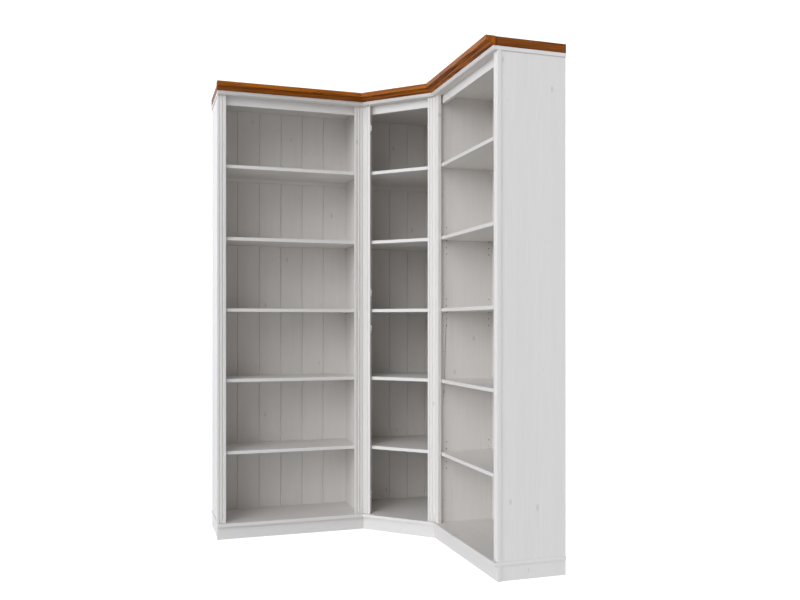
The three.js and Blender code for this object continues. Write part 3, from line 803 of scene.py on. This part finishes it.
# Painted shade in the corner where each side board meets the crown's end
CORNER_PAINTED_SHADE = "#3c1d08"
MIDDLE_DEPTH = 0.45
PALE_STREAK = 0.3
DARK_STREAK = 0.7
FIGURE_SHOWS = 0.55
THIRSTY_FROM = 0.3
THIRSTY_TO = 0.7
LEAST_SOAKED = -0.15
MOST_SOAKED = 0.25
# The side boards' stain is made darker than the crown's
SIDE_BOARD_DARKENING = 0.32
LACQUER_SHINE = 0.12
LACQUER_ROUGHNESS = (0.38, 0.5)
CORNER_SHADE_ROUGHNESS = 0.8
CORNER_SHADE_MM = 5.5
STAINED_PORE_STRENGTH = 0.2
STAINED_PORE_DEPTH_MM = 0.3


# Extra darkening makes the whole of a board's stain darker
def stained_pine(name, middle, along, through, log, extra_darkening):
    material, tree, surface = new_finish(name)
    figure = pine_figure(tree, middle, along, through, log, SOLID_BOARD_MM)
    streak = add(tree, "ShaderNodeMapRange", {
        "Value": figure["fibre"],
        "From Min": PALE_STREAK,
        "From Max": DARK_STREAK,
        "To Max": FIGURE_SHOWS,
    }).outputs["Result"]
    shown = add(tree, "ShaderNodeMath", {0: figure["ring"], 1: FIGURE_SHOWS, 2: streak},
                operation="MULTIPLY_ADD", use_clamp=True).outputs[0]
    soaked_and_darkened = add(tree, "ShaderNodeMapRange", {
        "Value": figure["patch"],
        "From Min": THIRSTY_FROM,
        "From Max": THIRSTY_TO,
        "To Min": extra_darkening + LEAST_SOAKED,
        "To Max": extra_darkening + MOST_SOAKED,
    }).outputs["Result"]
    depth = add(tree, "ShaderNodeMath", {0: shown, 1: soaked_and_darkened}, operation="ADD").outputs[0]
    ramp = add(tree, "ShaderNodeValToRGB", {"Fac": depth})
    ramp.color_ramp.elements[0].color = linear(STAIN_LIGHT)
    ramp.color_ramp.elements[1].color = linear(STAIN_DARK)
    ramp.color_ramp.elements.new(MIDDLE_DEPTH).color = linear(STAIN_MIDDLE)
    roughness = add(tree, "ShaderNodeMapRange", {
        "Value": shown,
        "To Min": LACQUER_ROUGHNESS[0],
        "To Max": LACQUER_ROUGHNESS[1],
    }).outputs["Result"]
    pores = add(tree, "ShaderNodeBump", {
        "Height": shown,
        "Strength": STAINED_PORE_STRENGTH,
        "Distance": STAINED_PORE_DEPTH_MM / 1000,
    }, invert=True).outputs["Normal"]
    surface.inputs["Specular IOR Level"].default_value = LACQUER_SHINE
    tree.links.new(ramp.outputs["Color"], surface.inputs["Base Color"])
    tree.links.new(roughness, surface.inputs["Roughness"])
    tree.links.new(pores, surface.inputs["Normal"])
    return material


# Painted shade where a side board comes out from behind the crown: a dull, nearly black strip, mottled like
# soaked stain
def corner_painted_shade(name):
    material, tree, surface = new_finish(name)
    corner_mottle = add(tree, "ShaderNodeTexNoise", {
        "Vector": add(tree, "ShaderNodeTexCoord").outputs["Object"],
        "Scale": 1000 / FIBRE_WIDTH_MM,
        "Detail": 3,
    }).outputs["Fac"]
    coloured = add(tree, "ShaderNodeMix", {
        "Factor": corner_mottle,
        FIRST_COLOUR: linear(CORNER_PAINTED_SHADE),
        SECOND_COLOUR: linear(STAIN_DARK),
    }, data_type="RGBA").outputs[MIXED_COLOUR]
    surface.inputs["Roughness"].default_value = CORNER_SHADE_ROUGHNESS
    surface.inputs["Specular IOR Level"].default_value = LACQUER_SHINE
    tree.links.new(coloured, surface.inputs["Base Color"])
    return material


def finish_in_stain(piece, along, through, extra_darkening):
    finish = stained_pine(piece.name + "_stain", middle_of(piece), along, through, next(logs), extra_darkening)
    piece.data.materials.append(finish)


# The board is cut across where the painted shade ends, and its faces in front of the cut get the painted
# shade
def paint_shade_at_front(board, front, along):
    shade_end = front + Vector(along) * CORNER_SHADE_MM / 1000
    bpy.ops.object.mode_set(mode="EDIT")
    bpy.ops.mesh.select_all(action="SELECT")
    bpy.ops.mesh.bisect(plane_co=shade_end, plane_no=along)
    bpy.ops.object.mode_set(mode="OBJECT")
    board.data.materials.append(corner_shade_finish)
    for face in board.data.polygons:
        if (face.center - shade_end).dot(Vector(along)) < 0:
            face.material_index = 1


for side, along in BOARD_WAYS.items():
    node_name = f"{side}_crown_moulding"
    crown = eased_copy(node_name, EASED_MOULDING_MM, node_name + "_eased")
    finish_in_stain(crown, along, FRONT_WAYS[side], 0)

# Each side board gets a strip of painted shade at its front end, beside the crown
corner_shade_finish = corner_painted_shade("corner_painted_shade")
for side in ("left", "right"):
    node_name = f"{side}_cornice_side_board"
    board = eased_copy(node_name, EASED_MOULDING_MM, node_name + "_eased")
    finish_in_stain(board, FRONT_WAYS[side], BOARD_WAYS[side], SIDE_BOARD_DARKENING)
    paint_shade_at_front(board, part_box(node_name)[0], FRONT_WAYS[side])


# Hinge plates
# Four nickel-plated steel mounting plates on the corner bookcase's left stile, round-ended and waisted, with
# a raised ridge for the hinge arm. Two pan-head cross-slotted screws hold each one.
PLATE_LENGTH_MM = 55
PLATE_WIDTH_MM = 13
PLATE_WAIST_MM = 8
PLATE_THICKNESS_MM = 3
PLATE_EASE_MM = 0.4
PLATE_ARRIS_DEGREES = 50
PLATE_SMOOTH_DEGREES = 30
PLATE_ROUND_SIDES = 40
RIDGE_WIDTH_MM = 5.6
RIDGE_HEIGHT_MM = 1.5
RIDGE_END_MM = 12
SCREW_SPACING_MM = 42
SCREW_RADIUS_MM = 4
SCREW_HEIGHT_MM = 2.5
SCREW_DOME_MM = 1.1
SCREW_TURN_DEGREES = 20
CROSS_LENGTH_MM = 4.6
CROSS_WIDTH_MM = 1
CROSS_DEPTH_MM = 1.4
SUNK_MM = 1


# A bar with square corners, in the plate's own frame: across, upwards and out of the stile
def square_bar(width_mm, length_mm, low_mm, high_mm):
    return block("square_bar", (-width_mm / 2000, -length_mm / 2000, low_mm / 1000),
                 (width_mm / 2000, length_mm / 2000, high_mm / 1000))


def screw_head(centre_up_mm, turn_degrees):
    top_mm = PLATE_THICKNESS_MM + SCREW_HEIGHT_MM
    screw = round_bar(SCREW_RADIUS_MM, centre_up_mm, SUNK_MM, top_mm, PLATE_ROUND_SIDES)
    round_end(1, SCREW_DOME_MM, 4)
    turn = Matrix.Rotation(math.radians(turn_degrees), 4, "Z")
    placement = Matrix.Translation((0, centre_up_mm / 1000, 0)) @ turn
    for width, length in ((CROSS_WIDTH_MM, CROSS_LENGTH_MM), (CROSS_LENGTH_MM, CROSS_WIDTH_MM)):
        blade = square_bar(width, length, top_mm - CROSS_DEPTH_MM, top_mm + CROSS_DEPTH_MM)
        blade.data.transform(placement)
        shape_by(screw, "DIFFERENCE", blade)
    return screw


def hinge_plate():
    end_radius = PLATE_WIDTH_MM / 2
    end_up = PLATE_LENGTH_MM / 2 - end_radius
    ridge_top = PLATE_THICKNESS_MM + RIDGE_HEIGHT_MM
    plate = square_bar(PLATE_WAIST_MM, 2 * end_up, 0, PLATE_THICKNESS_MM)
    for side in (-1, 1):
        end = round_bar(end_radius, side * end_up, 0, PLATE_THICKNESS_MM, PLATE_ROUND_SIDES)
        shape_by(plate, "UNION", end)
    shape_by(plate, "UNION", square_bar(RIDGE_WIDTH_MM, 2 * RIDGE_END_MM, SUNK_MM, ridge_top))
    easing = plate.modifiers.new("eased_edges", "BEVEL")
    easing.limit_method = "ANGLE"
    easing.angle_limit = math.radians(PLATE_ARRIS_DEGREES)
    easing.width = PLATE_EASE_MM / 1000
    easing.segments = 3
    apply_modifiers(plate)
    for side in (-1, 1):
        shape_by(plate, "UNION", screw_head(side * SCREW_SPACING_MM / 2, side * SCREW_TURN_DEGREES))
    bpy.ops.object.shade_smooth_by_angle(angle=math.radians(PLATE_SMOOTH_DEGREES))
    return plate


pattern_plate = hinge_plate()
out_of_stile = Vector(DIAGONAL).normalized()
plate_frame = Matrix((Vector(INTO_CORNER).normalized(), Vector(UP), out_of_stile)).transposed().to_4x4()
for number in (1, 2, 3, 4):
    node_name = f"hinge_plate_{number}"
    low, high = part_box(node_name)
    foot = (low + high) / 2 - out_of_stile * PLATE_THICKNESS_MM / 2000
    plate = copy_at(pattern_plate, node_name + "_pressed", Matrix.Translation(foot) @ plate_frame)
    plate.data.materials.append(nickel)
    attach(plate, "root")
    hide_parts(node_name)
bpy.data.objects.remove(pattern_plate)


# Studio
# White paper under and behind the unit, which throws much light up under the shelves and the cornice, and
# wide soft lights, most of them on the left. To the camera the paper is pure white, as in the photo.
FLOOR_REACH_M = 30
FLOOR_LIGHT = 0.7
PAPER_SEEN = 1.2
PAPER = "#ffffff"
PAPER_UNLIT = "#101010"
LIGHT_COLOUR = "#f4f8ff"
# Each light's place in degrees, left of the front and above the floor, then its tightness and its strength
SOFT_LIGHTS = (
    (-60, 8, 20, 3.6),
    (45, 8, 20, 2.9),
    (80, 8, 20, 6),
    (145, 8, 20, 4.3),
    (-40, 35, 20, 1.9),
    (40, 35, 20, 4.1),
    (40, 62, 14, 0.6),
)


def studio_paper(name):
    material, tree, surface = new_finish(name)
    glow = add(tree, "ShaderNodeMapRange", {
        "Value": add(tree, "ShaderNodeLightPath").outputs["Is Camera Ray"],
        "To Min": FLOOR_LIGHT,
        "To Max": PAPER_SEEN,
    }).outputs["Result"]
    surface.inputs["Base Color"].default_value = linear(PAPER_UNLIT)
    surface.inputs["Roughness"].default_value = 1
    surface.inputs["Specular IOR Level"].default_value = 0
    surface.inputs["Emission Color"].default_value = linear(LIGHT_COLOUR)
    tree.links.new(glow, surface.inputs["Emission Strength"])
    return material


floor_corners = [(x * FLOOR_REACH_M, y * FLOOR_REACH_M, 0) for x, y in ((-1, -1), (1, -1), (1, 1), (-1, 1))]
floor_data = bpy.data.meshes.new("studio_floor")
floor_data.from_pydata(floor_corners, [], [(0, 1, 2, 3)])
floor_data.materials.append(studio_paper("studio_paper"))
floor = bpy.data.objects.new("studio_floor", floor_data)
bpy.context.scene.collection.objects.link(floor)

world = bpy.data.worlds.new("studio_air")
world.use_nodes = True
bpy.context.scene.world = world
air = world.node_tree
lit_air = air.nodes["Background"]
direction = add(air, "ShaderNodeTexCoord").outputs["Generated"]
brightness = 0
for left_degrees, up_degrees, tightness, strength in SOFT_LIGHTS:
    left, up = math.radians(left_degrees), math.radians(up_degrees)
    way = (-math.sin(left) * math.cos(up), -math.cos(left) * math.cos(up), math.sin(up))
    facing = add(air, "ShaderNodeVectorMath", {0: direction, 1: way},
                 operation="DOT_PRODUCT").outputs["Value"]
    towards = add(air, "ShaderNodeMath", {0: facing, 1: 0}, operation="MAXIMUM").outputs[0]
    soft = add(air, "ShaderNodeMath", {0: towards, 1: tightness}, operation="POWER").outputs[0]
    brightness = add(air, "ShaderNodeMath", {0: soft, 1: strength, 2: brightness},
                     operation="MULTIPLY_ADD").outputs[0]
lit_air.inputs["Color"].default_value = linear(LIGHT_COLOUR)
air.links.new(brightness, lit_air.inputs["Strength"])
white_air = add(air, "ShaderNodeBackground", {"Color": linear(PAPER), "Strength": PAPER_SEEN})
shown_air = add(air, "ShaderNodeMixShader", {
    0: add(air, "ShaderNodeLightPath").outputs["Is Camera Ray"],
    1: lit_air.outputs[0],
    2: white_air.outputs[0],
})
air.links.new(shown_air.outputs[0], air.nodes["World Output"].inputs["Surface"])

bpy.context.scene.view_settings.view_transform = "Standard"
